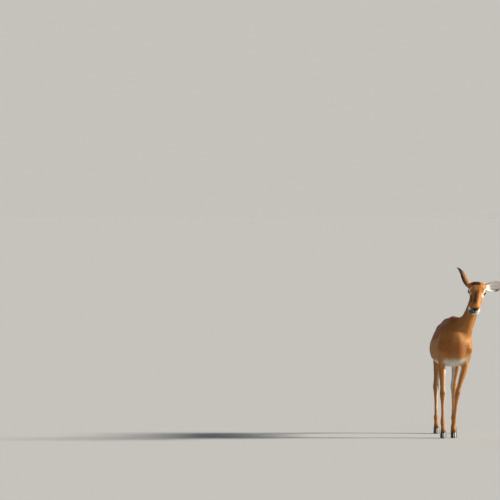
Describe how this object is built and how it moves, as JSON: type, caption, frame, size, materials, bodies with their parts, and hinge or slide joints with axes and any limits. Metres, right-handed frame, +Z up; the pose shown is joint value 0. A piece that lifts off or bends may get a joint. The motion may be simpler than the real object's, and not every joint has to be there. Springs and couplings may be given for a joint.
{
  "type": "standing impala ewe figure",
  "caption": "Hornless slender antelope standing square on cloven hooves, long legs and neck, head tipped to one side, one ear raised and one held level, hanging tail.",
  "frame": {"origin": "on the floor under the middle of the model's bounding box", "axes": "+Z up, -Y the way the ewe faces, +X its left side"},
  "size_m": [0.4652, 1.0616, 1.1387],
  "materials": {
    "coat": "short smooth orange-tan hair, paler on the flanks and white beneath",
    "pale_coat": "thin short hair over skin, pale inside the ear, tan behind, black at the tip",
    "eye": "wet, glossy, near black",
    "tongue": "wet, dark blue-grey",
    "hoof": "dark smooth horn, slightly worn"
  },
  "bodies": {
    "root": {"head": "coat", "neck": "coat", "trunk": "coat", "foreleg_left": "coat", "foreleg_right": "coat", "hindleg_left": "coat", "hindleg_right": "coat", "tail": "coat", "ear_left": "pale_coat", "ear_right": "pale_coat", "eye_left": "eye", "eye_right": "eye", "tongue": "tongue", "claw_fore_left_outer": "hoof", "claw_fore_left_inner": "hoof", "claw_fore_right_outer": "hoof", "claw_fore_right_inner": "hoof", "claw_hind_left_outer": "hoof", "claw_hind_left_inner": "hoof", "claw_hind_right_outer": "hoof", "claw_hind_right_inner": "hoof"}
  },
  "joints": []
}
